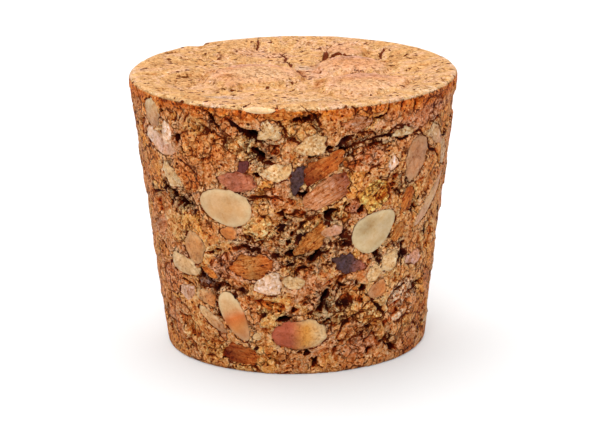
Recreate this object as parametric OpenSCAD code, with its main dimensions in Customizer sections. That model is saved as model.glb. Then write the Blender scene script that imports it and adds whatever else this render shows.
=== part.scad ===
// Tapered stopper of agglomerated cork: ground granules, bark and hard chips
// pressed and bonded into one solid plug, then turned to a taper.
// It stands on its small end at z = 0, and +Z runs up its axis to the wide end.
// Angles go round the axis from the front, which faces -Y, towards +X.

/* [Plug] */
// Diameter of the wide end
top_d = 44.2; // [38:0.5:60]
// Diameter of the small end
bottom_d = 34.9; // [28:0.5:37]
// Height from the small end to the rim of the wide end
height = 37; // [30:0.5:55]
// Radius of the worn rim at the wide end
top_round = 1; // [0.4:0.1:2]
// Radius of the worn rim at the small end
bottom_round = 0.5; // [0.3:0.1:1.5]

/* [Side] */
// How far the hard smooth chips stand proud of the taper
chip_proud = 0.1; // [0.05:0.05:0.4]
// Depth of the open voids between granules
void_depth = 1.5; // [0.8:0.1:2.2]
// Depth of the beds that torn granules left
bed_depth = 0.45; // [0.2:0.05:0.7]
// Width of a crack at its middle
crack_w = 0.42; // [0.2:0.02:0.8]
// Depth of a crack
crack_depth = 1; // [0.5:0.1:2]

/* [Ends] */
// How far the swollen granules rise above the rim of the wide end
lump_rise = 0.4; // [0.1:0.05:0.8]
// How far the wide end sinks inside its rim
face_sink = 0.35; // [0.1:0.05:0.8]
// Length of the pores of both end faces
pore_l = 1.1; // [0.6:0.1:2]
// Depth of those pores
pore_depth = 0.7; // [0.3:0.1:1.5]

/* [Rim notch] */
// Width of the notch broken out of the rim
notch_w = 1.6; // [0.8:0.1:4]
// How far the notch runs in from the rim
notch_l = 2.4; // [1.2:0.1:6]
// Depth of the notch
notch_depth = 1; // [0.5:0.1:3]

/* [Hidden] */
$fn = 90;

top_r = top_d / 2;
bottom_r = bottom_d / 2;
taper = atan((top_r - bottom_r) / height); // lean of the side from upright
past = 1; // how far a cutter runs past the face that it cuts
chip_root = 2; // how deep a chip is bonded in
golden = 0.618; // step that spreads scattered marks evenly
drawn_h = 37; // height of the plug that the tables' heights are written for
rim_land = 2; // width of the level land inside the rim
dish_r = 15; // radius of the sunk middle of the wide end

cork = [0.76, 0.52, 0.31];
dark = [0.24, 0.12, 0.08];
bed = [0.62, 0.36, 0.2];
cream = [0.83, 0.67, 0.47];
straw = [0.84, 0.66, 0.42];
tan = [0.73, 0.53, 0.35];
pink = [0.8, 0.62, 0.5];
orange = [0.76, 0.47, 0.24];
rust = [0.64, 0.34, 0.15];
bark = [0.69, 0.42, 0.27];
purple = [0.33, 0.21, 0.2];

// Hard smooth chips: angle, height, length, width, tilt, how much fuller one
// end is than the other, and tone.
CHIPS = [
  [-27, 23.1, 7.8, 5.1, -8, 0.16, cream],
  [32, 19.5, 7.2, 5.2, 32, -0.3, cream],
  [-26.3, 7.6, 7.2, 3.4, -64, -0.2, straw],
  [1, 5.6, 7.6, 4.3, -2, 0.12, pink],
  [-59, 34.2, 4.2, 4.2, -70, 0.1, cream],
  [-57, 30.4, 7.6, 2.6, -18, 0.1, pink],
  [-51, 31.8, 3.4, 1.9, 76, 0.1, pink],
  [-51, 13.7, 6, 2.7, -4, -0.15, cream],
  [-43, 16.6, 4.9, 3.9, 80, 0.1, tan],
  [-10.8, 12.6, 3.8, 3.1, 12, 0.3, pink],
  [-0.8, 13, 3.3, 1.7, -6, -0.2, straw],
  [50, 28.2, 6.4, 4.6, 74, 0.15, tan],
  [62, 30.6, 5.6, 2.3, -30, 0.1, straw],
  [71.5, 27.2, 5, 2.4, -62, 0.1, cream],
  [63.5, 21.5, 10.2, 2.1, 38, 0.05, pink],
  [-6.2, 28.2, 4.1, 2.6, 10, 0.2, straw],
  [-8.6, 33.8, 3.5, 2.8, 30, 0.1, straw],
  [6.4, 31.6, 3.9, 2.4, 14, 0.3, straw],
  [1, 27.2, 3.7, 2.1, 76, 0.2, purple],
  [22, 14.9, 4.7, 2.3, -14, -0.3, purple],
  [-21.3, 26.7, 5.4, 2.7, -4, 0.1, bark],
  [-18.2, 28.9, 1.9, 1.7, 60, 0.1, rust],
  [40.5, 14.5, 3.2, 2.8, 60, 0.2, straw],
  [33, 13.3, 2.7, 2.4, 20, 0.1, straw],
  [35, 10.9, 3, 2.5, 10, 0.1, tan],
  [-26, 19.5, 2.7, 1.8, -4, 0.1, orange],
  [13.8, 20, 3.3, 1.5, 8, 0.2, pink],
  [-38, 6.9, 5.2, 1.5, -38, 0.1, tan],
  [-41, 9.8, 3.8, 2.2, -10, 0.2, orange],
  [-51.5, 9.8, 3.7, 2.3, 10, 0.1, pink],
  [-52, 26.2, 4.4, 2.6, -50, 0.2, cream],
  [41.5, 32.3, 4.2, 1.2, 2, 0.1, straw],
  [55, 13.9, 4.4, 2.2, -10, 0.1, pink],
  [38, 28.3, 2, 1.8, -40, 0.1, pink],
];

// Granules of bark, in the same terms.
BARK = [
  [12, 25.4, 7.4, 3.9, 30, 0.15, bark],
  [9.4, 28.7, 6.2, 3.3, 34, 0.1, rust],
  [-17.9, 15, 6.6, 3.5, 12, 0.1, rust],
  [-25.4, 2.4, 5.2, 3.4, -8, 0.1, rust],
  [6.3, 18.9, 5, 2.9, 42, 0.1, orange],
  [-36.5, 13.6, 2.9, 1.1, -25, 0.1, orange],
  [43.6, 18.4, 2.9, 2.5, 50, 0.1, orange],
  [-5.5, 36, 3.2, 1.5, -4, 0.1, orange],
  [22.5, 34.4, 4.6, 2.2, 4, 0.1, bark],
  [47, 22.6, 4.2, 2.6, 60, 0.1, orange],
  [-66, 18, 4.6, 2.8, 20, 0.1, bark],
];

// Voids: angle, height, length, width and tilt.
VOIDS = [
  [-13.4, 33.1, 3.6, 1.2, -24],
  [-12, 30.6, 2.3, 1.1, -32],
  [-13.6, 28, 2, 1.2, -4],
  [8.6, 30.6, 3.3, 0.9, 26],
  [16.8, 30.9, 1.5, 1, 14],
  [2, 25.2, 1.9, 1.1, 12],
  [-4, 22.6, 1.6, 1.1, -50],
  [13.6, 22.3, 2.4, 0.8, 20],
  [19, 23.9, 1.4, 1.1, 24],
  [26.4, 22.3, 1.4, 1, -18],
  [-1.6, 19.2, 2, 0.9, 74],
  [0.5, 17, 2.6, 1.1, -10],
  [7.6, 16.4, 2.2, 1.1, 60],
  [-39.5, 12.8, 3.2, 1.8, -26],
  [-33, 16.6, 2, 0.8, 12],
  [-49, 23.2, 6, 1.8, -22],
  [-46, 31.5, 1.9, 1.3, -16],
  [-34, 7.8, 2.8, 0.9, -50],
  [12.6, 7.8, 3, 0.9, 16],
  [11.2, 10.4, 3.4, 1.3, 62],
  [27, 11.8, 2.6, 1.1, -22],
  [33.2, 15.8, 1.6, 1, 50],
  [1.6, 2.9, 2.2, 0.8, 4],
  [33, 2.5, 1.4, 1.1, 10],
  [46.6, 1.7, 2, 1.1, -46],
  [51.5, 21.8, 2.8, 0.9, -24],
  [30.5, 35.1, 2.8, 0.7, 4],
  [60, 9.9, 3, 0.7, 12],
  [47, 10.2, 3, 0.6, 30],
  [2.4, 35.4, 2.4, 0.8, 4],
];

// Beds of torn granules: angle, height, length, width and tilt.
BEDS = [
  [-2, 23.6, 5, 2.6, -30],
  [3, 15.2, 5.4, 2.8, 70],
  [24, 10.8, 4.6, 2.4, -30],
  [-34, 11.1, 5.4, 2.8, -20],
  [36, 25, 5, 2.6, 50],
  [-10, 31.6, 4.6, 2.2, -30],
  [24, 30, 5.6, 2.6, 10],
  [-60, 21.6, 5, 2.8, 40],
  [44, 6.8, 4.6, 2.6, 30],
  [-52, 4.9, 4.8, 2.6, -30],
  [66, 16, 4.4, 2.4, 60],
  [-10, 9.6, 4.6, 1.8, -10],
  [15, 12.6, 4.4, 2, 30],
];

// Cracks: the angles and heights that each runs through.
CRACKS = [
  [[22.8, 31.6], [27.3, 32], [34.4, 32.1], [41.5, 31.3], [45.1, 31.8], [49.3, 31.7]],
  [[53, 31], [57.5, 29.2], [63, 28.2], [70, 25.6]],
  [[10, 30.9], [16.5, 31], [22, 31.4]],
  [[3, 25.4], [5.5, 26.9], [8, 27.6], [11.5, 28.4]],
  [[4.2, 37], [5.8, 36.3], [7.9, 35.3], [9.5, 34.4]],
  [[-19, 24.3], [-14, 24.7], [-10, 25], [-5, 24.6]],
  [[-26, 17.2], [-21, 17.4], [-15, 17.4], [-10, 16.4]],
  [[17, 5], [20, 6.3], [24, 7.6], [29, 8.3]],
  [[29, 11], [34, 9.2], [38, 7.5], [41, 7]],
  [[42, 9], [44.5, 9.8], [50.5, 10.5]],
  [[60, 4.4], [64, 3.6], [66, 2]],
  [[-73, 4.7], [-68, 4.5], [-64, 4.1]],
  [[-70, 22.5], [-64, 22.9], [-58, 23.4]],
  [[-23.5, 35.2], [-19.7, 34.3], [-15.9, 33.5], [-12.2, 32.9]],
  [[-6.4, 35.8], [-4.6, 35], [-2.8, 34.3], [-2.2, 33.2]],
  [[-31.7, 36], [-29, 34.8], [-26.3, 33.8]],
];

// Swollen granules on the wide end: place as shares of its radius, width, and
// how far each rises as a share of the highest.
LUMPS = [
  [-0.24, -0.05, 13, 1],
  [0.36, 0.18, 10, 1],
  [0.41, -0.31, 11.6, 1],
  [0.6, -0.24, 5, 0.9],
  [0.32, 0.57, 6.5, 0.9],
  [-0.42, 0.6, 6.5, 0.7],
  [-0.68, 0.18, 8, 0.6],
];

// Cracks on the wide end: the shares of its radius that each runs through.
END_CRACKS = [
  [[-0.08, 0.6], [-0.04, 0.48], [-0.02, 0.32], [0, 0.17], [0.02, 0.02]],
  [[0.2, 0.69], [0.21, 0.53], [0.17, 0.35]],
  [[0.2, 0.45], [0.27, 0.47], [0.36, 0.46], [0.46, 0.43]],
  [[0.57, 0.6], [0.55, 0.54], [0.54, 0.44]],
  [[-0.23, 0.9], [-0.22, 0.8], [-0.21, 0.68]],
  [[0.53, -0.07], [0.58, -0.02], [0.63, -0.06]],
  [[-0.05, -0.45], [-0.02, -0.39], [0.01, -0.33]],
];

back_from = 80; // angle at which the scattered marks of the back start
back_span = 200;
back_chips = 18;
back_bark = 6;
back_voids = 20;
back_beds = 8;
back_cracks = 8;
end_pores = 16; // pores on each end face
notch_at = -141; // angle of the rim notch

function side_r(z) = bottom_r + (top_r - bottom_r) * z / height;

function frac(x) = x - floor(x);

// Share of the height that a table's height stands for.
function up(z) = z / drawn_h;

// Angle and share of the height of mark i of n, spread over the back of the side.
function back_place(i, n, start) =
  [back_from + back_span * frac(start + i * golden), 0.06 + 0.88 * (i + 0.5) / n];

// Length, width and tilt of mark i of the back.
function back_size(i, start, small, big, slim) =
  let (l = small + (big - small) * frac(0.414 * i + start))
  [l, l * (slim + 0.3 * frac(0.732 * i)), 180 * frac(0.236 * i)];

// Place of pore i of n on an end face, as shares of its radius.
function end_place(i, n) = let (r = sqrt((i + 1.5) / (n + 2.5)), a = 360 * i * golden) r * [cos(a), sin(a)];

function arc(x, y, r, from, to, steps = 3) =
  [for (i = [0:steps]) let (a = from + (to - from) * i / steps) [x + r * cos(a), y + r * sin(a)]];

// Rounded outline of a chip, with one end fuller than the other.
function egg(l, w, fuller) =
  let (steps = l > 5 ? 14 : l > 3.5 ? 10 : 8)
  [for (i = [0:steps - 1])
    let (a = 360 * i / steps)
      [l / 2 * cos(a), w / 2 * sin(a) * (1 + fuller * cos(a))]];

// Ragged outline of a hole about l long and w wide, different for each seed.
function ragged(l, w, seed, steps = 6) =
  let (reach = rands(0.75, 1.15, steps, seed))
  [for (i = [0:steps - 1]) let (a = 360 * i / steps) reach[i] * [l / 2 * cos(a), w / 2 * sin(a)]];

// Outline of a crack along a path, wide in the middle and pointed at its ends.
function ribbon(path, w) =
  let (
    last = len(path) - 1,
    run = [for (i = [0:last]) path[min(i + 1, last)] - path[max(i - 1, 0)]],
    side = [for (i = [0:last]) w / 2 * sin(180 * i / last) * [-run[i].y, run[i].x] / norm(run[i])]
  )
  concat(
    [for (i = [0:last]) path[i] - side[i]],
    [for (i = [last - 1:-1:1]) path[i] + side[i]]
  );

// The turned plug, with its side grown outwards.
module plug(grow = 0) {
  rim_z = height - top_round;
  rim_x = side_r(rim_z) - top_round / cos(taper) + grow;
  foot_x = side_r(bottom_round) - bottom_round / cos(taper) + grow;
  rotate_extrude()
    polygon(concat(
      [[0, 0]],
      arc(foot_x, bottom_round, bottom_round, -90, -taper),
      arc(rim_x, rim_z, top_round, -taper, 90),
      [[top_r - top_round - rim_land, height], [dish_r, height - face_sink], [0, height - face_sink]]
    ));
}

// Sets an outline on the side: X runs round the plug, Y up it and Z out of it.
module on_side(angle, share, tilt = 0) {
  z = share * height;
  rotate([0, 0, angle])
    translate([0, -side_r(z), z])
      rotate([90 + taper, 0, 0])
        rotate([0, 0, tilt])
          children();
}

// Turns an outline into a cutter that reaches this deep below the face.
module sink(depth) {
  translate([0, 0, -depth])
    linear_extrude(depth + past)
      children();
}

module chip(angle, share, l, w, tilt, fuller) {
  intersection() {
    plug(chip_proud);
    on_side(angle, share, tilt)
      sink(chip_root)
        polygon(egg(l, w, fuller));
  }
}

// Chips of a table, then as many more scattered over the back.
module chips(table, more, start, small, big, tones) {
  for (c = table)
    color(c[6]) chip(c[0], up(c[1]), c[2], c[3], c[4], c[5]);
  for (i = [0:more - 1]) {
    place = back_place(i, more, start);
    size = back_size(i, start, small, big, 0.42);
    color(tones[floor(len(tones) * frac(0.449 * i))])
      chip(place[0], place[1], size[0], size[1], size[2], 0.15);
  }
}

module hole(angle, share, l, w, tilt, depth, seed) {
  on_side(angle, share, tilt)
    sink(depth)
      polygon(ragged(l, w, seed));
}

module voids() {
  for (i = [0:len(VOIDS) - 1])
    let (v = VOIDS[i])
      hole(v[0], up(v[1]), v[2], v[3], v[4], void_depth, i);
  for (i = [0:back_voids - 1])
    let (place = back_place(i, back_voids, 0.3), size = back_size(i, 0.3, 1.4, 3.6, 0.3))
      hole(place[0], place[1], size[0], 0.9, size[2], void_depth, i + 200);
}

module beds() {
  for (i = [0:len(BEDS) - 1])
    let (b = BEDS[i])
      hole(b[0], up(b[1]), b[2], b[3], b[4], bed_depth, i + 300);
  for (i = [0:back_beds - 1])
    let (place = back_place(i, back_beds, 0.7), size = back_size(i, 0.7, 4, 6, 0.4))
      hole(place[0], place[1], size[0], size[1], size[2], bed_depth, i + 400);
}

// A crack in the side, laid out flat on the face at its middle.
module side_crack(path) {
  middle = (path[0] + path[len(path) - 1]) / 2;
  round_scale = PI / 180 * side_r(middle[1] * height);
  up_scale = height / cos(taper);
  flat = [for (p = path) [(p[0] - middle[0]) * round_scale, (p[1] - middle[1]) * up_scale]];
  on_side(middle[0], middle[1])
    sink(crack_depth)
      polygon(ribbon(flat, crack_w));
}

module side_cracks() {
  for (path = CRACKS)
    side_crack([for (p = path) [p[0], up(p[1])]]);
  for (i = [0:back_cracks - 1])
    let (start = back_place(i, back_cracks, 0.5))
      side_crack([for (k = [0:4]) start + [3.6 * k, up(sin(137.5 * k + 57.3 * i))]]);
}

// A low round swelling that rises out of the sunk middle of the wide end.
module lump(w, rise) {
  r = (w * w / 4 + rise * rise) / (2 * rise);
  edge = 1.3 * asin(w / 2 / r); // past the face, so the swelling meets it at a slant
  floor_y = r - rise - past;
  translate([0, 0, rise - r])
    rotate_extrude($fn = 24)
      polygon(concat([[0, floor_y], [r * sin(edge), floor_y]], arc(0, 0, r, 90 - edge, 90)));
}

module lumps() {
  for (l = LUMPS)
    translate([l[0] * top_r, l[1] * top_r, height - face_sink])
      lump(l[2], l[3] * (lump_rise + face_sink));
}

// Pores and cracks of an end face that looks up.
module end_marks(r, seed) {
  for (i = [0:end_pores - 1])
    let (place = (r - pore_l) * end_place(i, end_pores), size = rands(0.5, 1.3, 2, seed + i))
      translate(place)
        rotate([0, 0, 180 * size[1]])
          sink(pore_depth)
            polygon(ragged(pore_l * size[0], 0.7 * pore_l * size[0], seed + i));
  for (path = END_CRACKS)
    sink(crack_depth)
      polygon(ribbon(path * r, crack_w));
}

module rim_notch() {
  rotate([0, 0, notch_at])
    translate([0, -top_r, height])
      sink(notch_depth)
        polygon(ragged(notch_w, 2 * notch_l, 7));
}

module stopper() {
  difference() {
    union() {
      color(cork) plug();
      color(cork) lumps();
      chips(CHIPS, back_chips, 0, 2.6, 7, [straw, tan, pink, cream, orange]);
      chips(BARK, back_bark, 0.6, 4, 6.6, [bark, rust, orange]);
    }
    color(bed) beds();
    color(dark) voids();
    color(dark) side_cracks();
    color(dark) translate([0, 0, height - face_sink]) end_marks(top_r, 600);
    color(dark) mirror([0, 0, 1]) end_marks(bottom_r, 700);
    color(bed) rim_notch();
  }
}

stopper();
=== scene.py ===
import math
import random

import bpy
import numpy as np
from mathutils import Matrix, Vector, noise


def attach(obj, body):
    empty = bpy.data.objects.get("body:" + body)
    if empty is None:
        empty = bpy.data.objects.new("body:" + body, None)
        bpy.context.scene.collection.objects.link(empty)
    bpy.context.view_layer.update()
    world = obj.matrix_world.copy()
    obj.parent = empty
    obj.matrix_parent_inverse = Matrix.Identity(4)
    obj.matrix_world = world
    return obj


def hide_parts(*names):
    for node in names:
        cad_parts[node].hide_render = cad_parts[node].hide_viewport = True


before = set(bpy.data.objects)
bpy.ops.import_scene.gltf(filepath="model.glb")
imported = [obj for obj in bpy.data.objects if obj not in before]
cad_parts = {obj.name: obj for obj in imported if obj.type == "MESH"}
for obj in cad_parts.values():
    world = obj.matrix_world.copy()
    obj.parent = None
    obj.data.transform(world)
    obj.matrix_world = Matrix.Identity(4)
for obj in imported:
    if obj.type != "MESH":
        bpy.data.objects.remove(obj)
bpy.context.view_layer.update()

mm = 0.001

# The plug, in millimetres. Angles go round it in degrees, from the front (-Y)
# towards +X, and heights go up from the small end.
plug = {
    "wideR": 22,
    "reach": 21.92,  # farthest that its skin stands from the axis
    "top": 37.38,  # highest that it stands
    "footR": 17.35,
    "height": 37,
    "rimRound": 0.8,
    "footRound": 0.5,
    "faceSize": 0.3,  # of its skin
    "voidDepth": 1.4,
    "pitDepth": 0.6,  # of voids in the ends
    "crackDepth": 0.5,
    "bedDepth": 0.45,
    "socketDepth": 0.5,  # under a chip
    "patchDepth": 0.2,  # of the groove round a patch
    "lumpRise": 0.36,
    "faceSink": 0.8,  # of the wide end between its lumps
    "notch": (-13.5, 17, 37),  # broken out of the rim
    "notchR": 1.6,
    "notchDepth": 0.9,
    "granule": 3.6,  # mean width
    "granuleDrop": 0.16,  # most that one lies below the next
    "granuleTilt": 0.16,
    "granuleGap": 0.2,
    "crumb": 1.15,
    "crumbDrop": 0.12,
    "crumbTilt": 0.3,
    "crumbGap": 0.16,
}
lean = math.atan((plug["wideR"] - plug["footR"]) / plug["height"])
golden = 0.618  # step that spreads scattered marks evenly
farOff = 99  # stands for a chart's place off its own face
edgeBand = 0.7  # how close to an end or to the side a point belongs to it


def sideR(z):
    return plug["footR"] + (plug["wideR"] - plug["footR"]) * z / plug["height"]


def srgb(r, g, b):
    return tuple(((c / 255 + 0.055) / 1.055) ** 2.4 for c in (r, g, b))


tones = {name: srgb(*colour) for name, colour in {
    "cream": (206, 164, 110), "pale": (198, 172, 124), "straw": (224, 184, 126), "tan": (192, 132, 82),
    "pink": (220, 160, 124), "white": (242, 204, 168), "butter": (238, 200, 146), "rose": (186, 94, 60),
    "orange": (212, 128, 52), "gold": (192, 124, 58), "rust": (204, 110, 42), "brown": (138, 52, 14),
    "bark": (218, 146, 94), "mauve": (176, 96, 62), "wine": (112, 44, 36), "purple": (84, 54, 52),
    "moss": (140, 98, 54), "wheat": (208, 144, 78), "clay": (192, 112, 70), "amber": (214, 150, 60),
    "mist": (214, 182, 160), "blush": (222, 160, 130), "sand": (228, 182, 132), "cork": (190, 120, 62),
    "crust": (222, 164, 104),
}.items()}

# Smooth chips in the side: angle, height, length, width, tilt, how much fuller
# one end is than the other, how ragged the outline is, and tones along it.
sideChips = [
    (-27, 23.1, 7.8, 5.1, -8, 0.16, 0, "cream"),
    (32, 19.5, 7.2, 5.2, 32, -0.3, 0, "pale"),
    (-26.3, 7.6, 7.2, 3.4, -64, -0.2, 0, "cream cream rust gold tan"),
    (1, 5.6, 7.6, 4.3, -2, 0.12, 0.3, "rose rose amber straw"),
    (-59, 34.2, 4.2, 4.2, -70, 0.1, 0.5, "straw tan"),
    (-57, 30.4, 7.8, 2.9, -18, 0.1, 0.6, "white pink"),
    (-51, 31.8, 3.6, 2.2, 76, 0.1, 0.6, "white"),
    (-51, 13.7, 6, 2.9, -4, -0.15, 0.4, "straw cream"),
    (-43, 16.6, 4.9, 3.9, 80, 0.1, 0.5, "wheat"),
    (-10.8, 12.6, 3.9, 3.3, 12, 0.2, 0.6, "white"),
    (-0.8, 13, 3.3, 1.7, -6, -0.2, 0.6, "straw"),
    (50, 28.2, 6.4, 4.6, 74, 0.15, 0.4, "tan"),
    (62, 30.6, 5.6, 2.3, -30, 0.1, 0.9, "straw tan"),
    (71.5, 27.2, 5, 2.4, -62, 0.1, 0.9, "cream"),
    (63.5, 21.5, 10.2, 2.1, 38, 0.05, 0.3, "pink cream bark"),
    (-6.2, 28.2, 4.1, 2.6, 10, 0.2, 0.7, "straw"),
    (-8.6, 33.8, 3.5, 2.8, 30, 0.1, 1, "straw"),
    (6, 31.8, 4.6, 3, 14, 0.3, 0.8, "straw"),
    (1, 27.2, 3.7, 2.1, 76, 0.2, 1, "purple"),
    (21.6, 15.1, 5.2, 2.6, -14, -0.2, 1, "purple purple mauve"),
    (-21.3, 26.7, 5.6, 3, -4, 0.1, 0.7, "clay mauve clay"),
    (-18.2, 28.9, 1.9, 1.7, 60, 0.1, 0.8, "wine"),
    (40.5, 14.5, 3.2, 2.8, 60, 0.2, 0.6, "straw"),
    (33, 13.3, 2.7, 2.4, 20, 0.1, 0.8, "straw"),
    (35, 10.9, 3, 2.5, 10, 0.1, 0.4, "tan orange"),
    (-26, 19.5, 2.7, 1.8, -4, 0.1, 0.4, "orange"),
    (13.8, 20, 3.3, 1.5, 8, 0.2, 0.6, "tan pink"),
    (-38, 6.9, 5.6, 1.6, -38, 0.1, 0.4, "straw tan"),
    (-40.4, 9.8, 3.6, 2, -14, 0.2, 0.8, "straw orange"),
    (-51.5, 9.8, 3.7, 2.3, 10, 0.1, 0.7, "white pink"),
    (-52, 26.2, 4.4, 2.6, -50, 0.2, 0.8, "straw"),
    (41.5, 32.3, 4.2, 1.2, 2, 0.1, 0.8, "straw"),
    (55, 13.9, 4.4, 2.2, -10, 0.1, 1, "pink"),
    (-16.8, 5.2, 1.1, 1, 0, 0, 0.4, "straw"),
    (38, 28.3, 2, 1.8, -40, 0.1, 0.8, "white"),
]

# Granules of bark in the side, ridged along their length, in the same terms
sideBark = [
    (12, 25.4, 7.4, 3.9, 30, 0.15, 0.6, "bark bark mauve"),
    (9.4, 28.7, 6.2, 3.3, 34, 0.1, 0.8, "brown rust rust"),
    (-17.9, 15, 6.6, 3.5, 12, 0.1, 0.9, "rust gold rust"),
    (-25.4, 2.4, 5.2, 3.4, -8, 0.1, 0.8, "brown rust"),
    (6.3, 18.9, 5, 2.9, 42, 0.1, 1, "gold orange"),
    (-36.5, 13.6, 2.9, 1.1, -25, 0.1, 0.6, "orange"),
    (43.6, 18.4, 2.9, 2.5, 50, 0.1, 0.8, "orange gold"),
    (-5.5, 36, 3.2, 1.5, -4, 0.1, 1, "orange"),
    (22.5, 34.4, 4.6, 2.2, 4, 0.1, 1, "bark"),
    (47, 22.6, 4.2, 2.6, 60, 0.1, 0.8, "orange rust"),
    (-66, 18, 4.6, 2.8, 20, 0.1, 0.8, "tan bark"),
]

# Voids in the side: angle, height, length, width and tilt.
sideVoids = [
    (-13.4, 33.1, 3.6, 1.2, -24), (-12, 30.6, 2.3, 1.1, -32), (-13.6, 28, 2, 1.2, -4),
    (8.6, 30.6, 3.3, 0.9, 26), (16.8, 30.9, 1.5, 1, 14), (2, 25.2, 1.9, 1.1, 12), (-4, 22.6, 1.6, 1.1, -50),
    (-7, 21, 1.2, 0.9, -50), (13.6, 22.3, 2.4, 0.8, 20), (19, 23.9, 1.4, 1.1, 24),
    (26.4, 22.3, 1.4, 1, -18), (-1.6, 19.2, 2, 0.9, 74), (0.5, 17, 2.6, 1.1, -10),
    (7.6, 16.4, 2.2, 1.1, 60), (-39.5, 12.8, 3.2, 1.8, -26), (-33, 16.6, 2, 0.8, 12),
    (-49, 23.2, 6, 1.8, -22), (-46, 31.5, 1.9, 1.3, -16), (-34, 7.8, 2.8, 0.9, -50),
    (-5.6, 7.7, 3.5, 0.6, 6), (12.6, 7.8, 3, 0.9, 16), (11.2, 10.4, 3.4, 1.3, 62),
    (27, 11.8, 2.6, 1.1, -22), (33.2, 15.8, 1.6, 1, 50), (1.6, 2.9, 2.2, 0.8, 4), (7, 1.8, 1.5, 0.9, 84),
    (33, 2.5, 1.4, 1.1, 10), (46.6, 1.7, 2, 1.1, -46), (51.5, 21.8, 2.8, 0.9, -24),
    (30.5, 35.1, 2.8, 0.7, 4), (-28.5, 34.8, 2.6, 0.6, -50), (-52, 34.8, 1.1, 0.7, 0),
    (60, 9.9, 3, 0.7, 12), (47, 10.2, 3, 0.6, 30), (-0.6, 8.8, 1.2, 0.7, -18), (2.4, 35.4, 2.4, 0.8, 4),
]

# Where the side is torn into crumbs: angle, height, length, width and tilt.
tornZones = [
    (4, 18.6, 11, 9, 0), (-49, 23.6, 7, 4.6, -20), (13, 9.4, 7, 6, 40), (-34, 10.6, 7, 5.4, -30),
    (37, 16, 7, 6, 0), (-12, 31, 5, 4, -30), (27, 31.8, 8, 3, 10), (-20, 24.6, 7, 3, 20),
    (45, 24.6, 4, 5, 60), (27, 4.6, 6, 3, 10), (-17, 18, 6, 3, 0), (52, 9.4, 7, 3, 10), (4, 26, 5, 3, 40),
]

# Beds that torn granules left: angle, height, length, width and tilt.
sideBeds = [
    (-2, 23.6, 5, 2.6, -30), (3, 15.2, 5.4, 2.8, 70), (24, 10.8, 4.6, 2.4, -30), (-34, 11.1, 5.4, 2.8, -20),
    (36, 25, 5, 2.6, 50), (-10, 31.6, 4.6, 2.2, -30), (24, 30, 5.6, 2.6, 10), (-60, 21.6, 5, 2.8, 40),
    (44, 6.8, 4.6, 2.6, 30), (-52, 4.9, 4.8, 2.6, -30), (66, 16, 4.4, 2.4, 60), (-10, 9.6, 4.6, 1.8, -10),
    (15, 12.6, 4.4, 2, 30),
]

# Cracks in the side: width, then the angles and heights that each runs through.
sideCracks = [
    (0.26, (15.7, 34.7), (20, 34), (24.2, 33.1), (28, 33.2)),
    (0.24, (17.1, 32.6), (19.8, 32.9), (25, 33.1)),
    (0.36, (22.8, 31.6), (27.3, 32), (34.4, 32.1), (41.5, 31.3), (45.1, 31.8), (49.3, 31.7), (54.4, 30.7)),
    (0.3, (54.4, 30.7), (57.5, 29.2), (63, 28.2), (70, 25.6)),
    (0.24, (34.4, 32.2), (38.5, 33.2), (44.7, 33.1)),
    (0.3, (10, 30.9), (16.5, 31), (23, 31.6)),
    (0.28, (3, 25.4), (5.5, 26.9), (8, 27.6), (11.5, 28.4)),
    (0.3, (4.2, 37.2), (5.8, 36.3), (7.9, 35.3), (9.5, 34.4)),
    (0.3, (-19, 24.3), (-14, 24.7), (-10, 25), (-5, 24.6)),
    (0.3, (-26, 17.2), (-21, 17.4), (-15, 17.4), (-10, 16.4)),
    (0.3, (17, 5), (20, 6.3), (24, 7.6), (29, 8.3)),
    (0.34, (29, 11), (34, 9.2), (38, 7.5), (41, 7)),
    (0.3, (42, 9), (44.5, 9.8), (50.5, 10.5)),
    (0.26, (56, 9), (61, 9.4), (67, 10.8)),
    (0.26, (60, 4.4), (64, 3.6), (66, 2)),
    (0.26, (-73, 4.7), (-68, 4.5), (-64, 4.1)),
    (0.3, (-70, 22.5), (-64, 22.9), (-58, 23.4)),
    (0.24, (-54, 11.6), (-49, 11.2), (-45, 10.8)),
    (0.5, (-23.5, 35.2), (-19.7, 34.3), (-15.9, 33.5), (-12.2, 32.9)),
    (0.28, (-6.4, 35.8), (-4.6, 35), (-2.8, 34.3), (-2.2, 33.2)),
    (0.28, (-12, 29.7), (-9, 29.5), (-6, 29.2)),
    (0.26, (41, 3.9), (43, 3.4), (45, 2.8)),
    (0.34, (-31.7, 36), (-29, 34.8), (-26.3, 33.8)),
    (0.26, (-19, 1.5), (-18, 0.9), (-16.5, 0.4)),
    (0.26, (20.5, 37.2), (20.8, 36.5), (21.1, 35.4)),
    (0.2, (26.7, 37.2), (26.9, 36.9), (27.2, 36.4)),
    (0.24, (34.4, 37), (34.1, 36.4), (33.6, 35.4)),
    (0.2, (40.6, 37), (40.4, 36.3), (40.2, 35.5)),
    (0.22, (46.8, 37), (46.6, 36), (46.3, 34.7)),
    (0.26, (-6.3, 37.2), (-6.2, 36.7), (-6, 36)),
]

# Swellings of the wide end: x, y, width and rise as a share of lumpRise.
lumps = [
    (-5.2, -1.2, 13, 1), (8, 4, 10, 1), (9, -6.8, 11.6, 1), (-8.9, -3.8, 2.4, 0.9), (-8.3, -7.8, 3, 0.8),
    (13.2, -5.4, 5, 0.8), (-10, 15, 9, 0.5), (-15, 4, 8, 0.4), (15.5, 5, 7, 0.5), (7, 12.6, 6.5, 0.8),
    (1, -14, 9, 0.3),
]

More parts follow.
